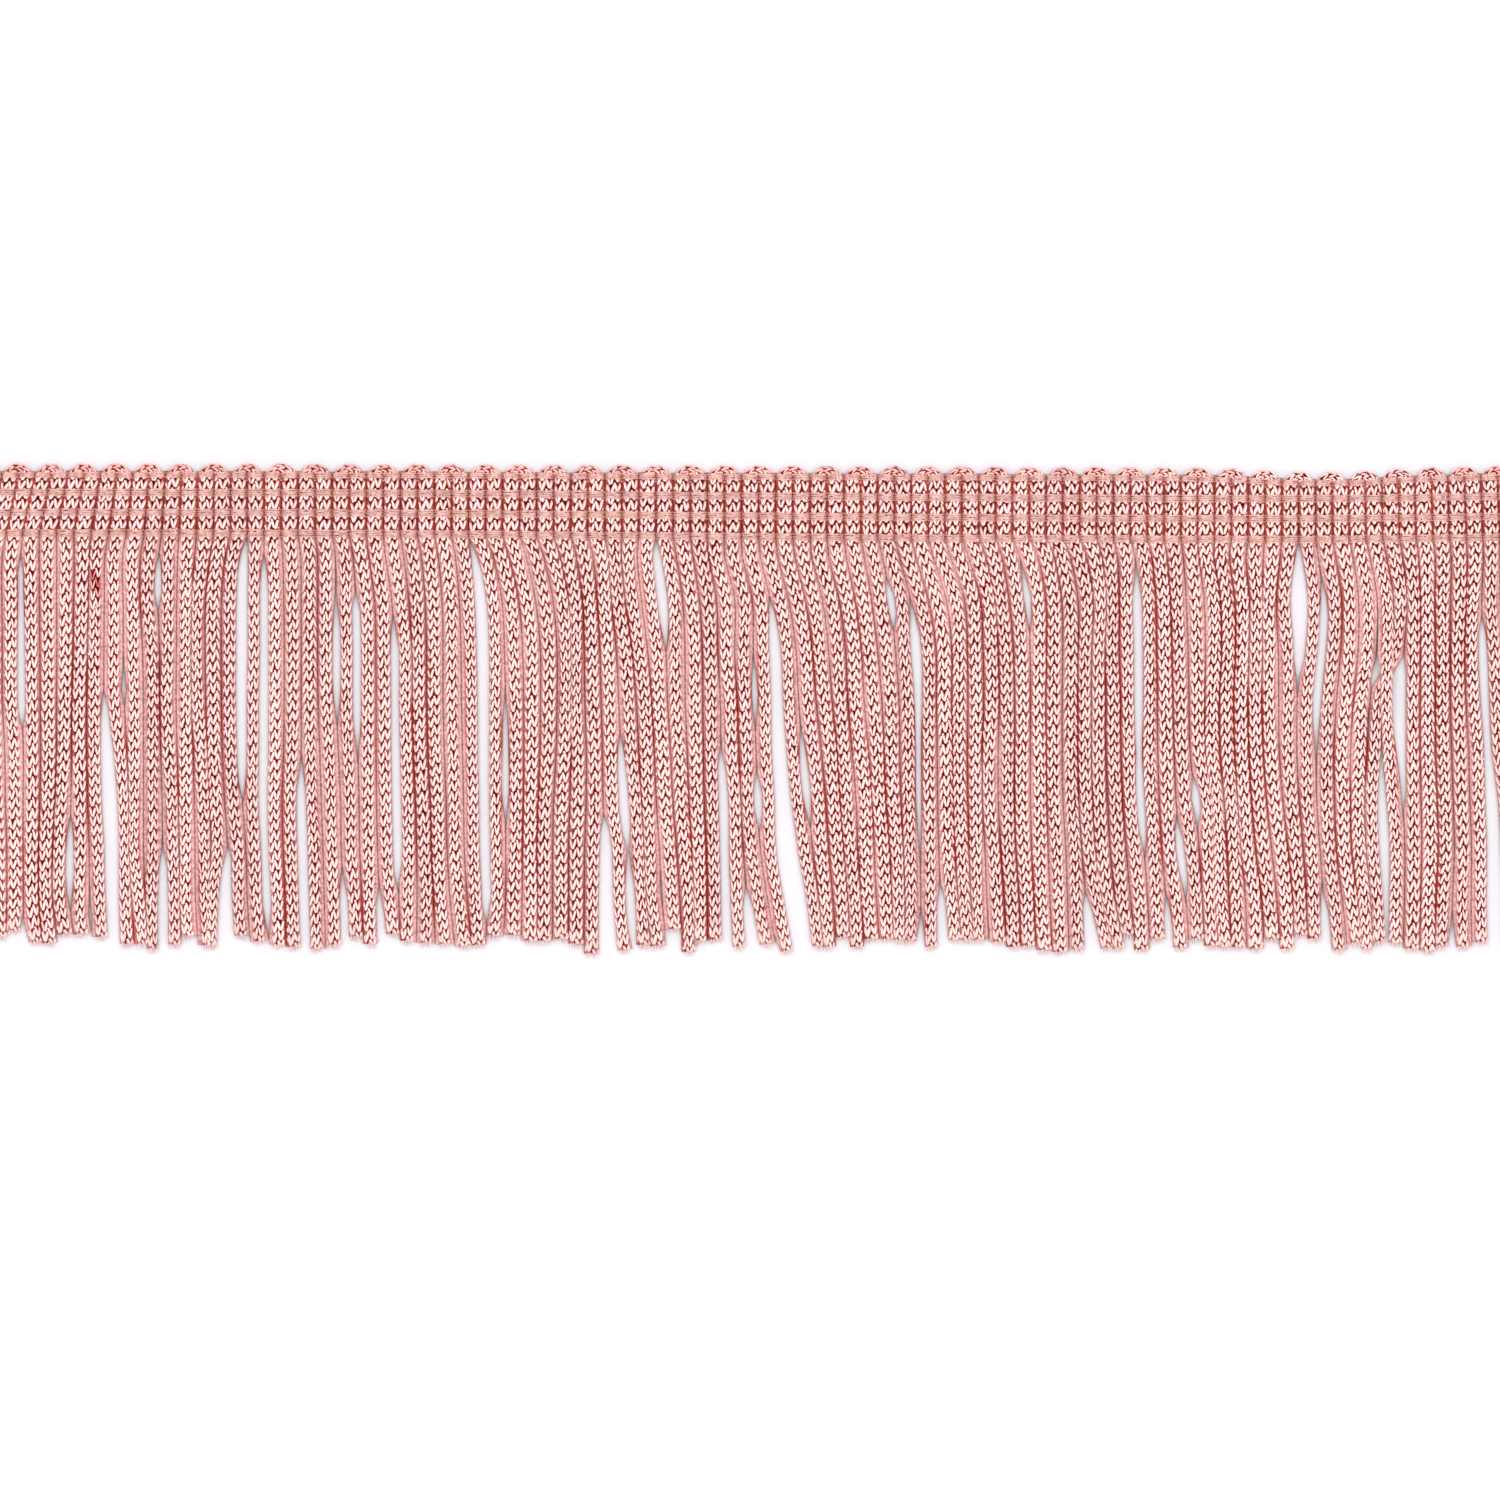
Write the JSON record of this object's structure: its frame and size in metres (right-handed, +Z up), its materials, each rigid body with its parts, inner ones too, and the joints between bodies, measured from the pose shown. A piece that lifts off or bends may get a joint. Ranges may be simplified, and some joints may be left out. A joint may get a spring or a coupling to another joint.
{
  "type": "chainette fringe trim",
  "caption": "Cut length of chainette fringe trim: fine knitted cords looped side by side, bound by stitch rows into a narrow heading, and hanging below it as loose strings with cut ends",
  "frame": {"origin": "centre of the bounding box in X and Y, on the surface that the trim lies on", "axes": "X along the length of the trim, +Y towards the heading with the loose strings at -Y, +Z up from the surface, out of the face of the trim"},
  "size_m": [0.1998, 0.0612, 0.0017],
  "materials": {
    "chainette": "satin knitted filament yarn",
    "binding_thread": "matt sewing thread"
  },
  "bodies": {
    "root": {"chainette_comb": "chainette", "binding_row_1_front": "binding_thread", "binding_row_1_back": "binding_thread", "binding_row_2_front": "binding_thread", "binding_row_2_back": "binding_thread", "binding_row_3_front": "binding_thread", "binding_row_3_back": "binding_thread", "binding_row_4_front": "binding_thread", "binding_row_4_back": "binding_thread"}
  },
  "joints": []
}
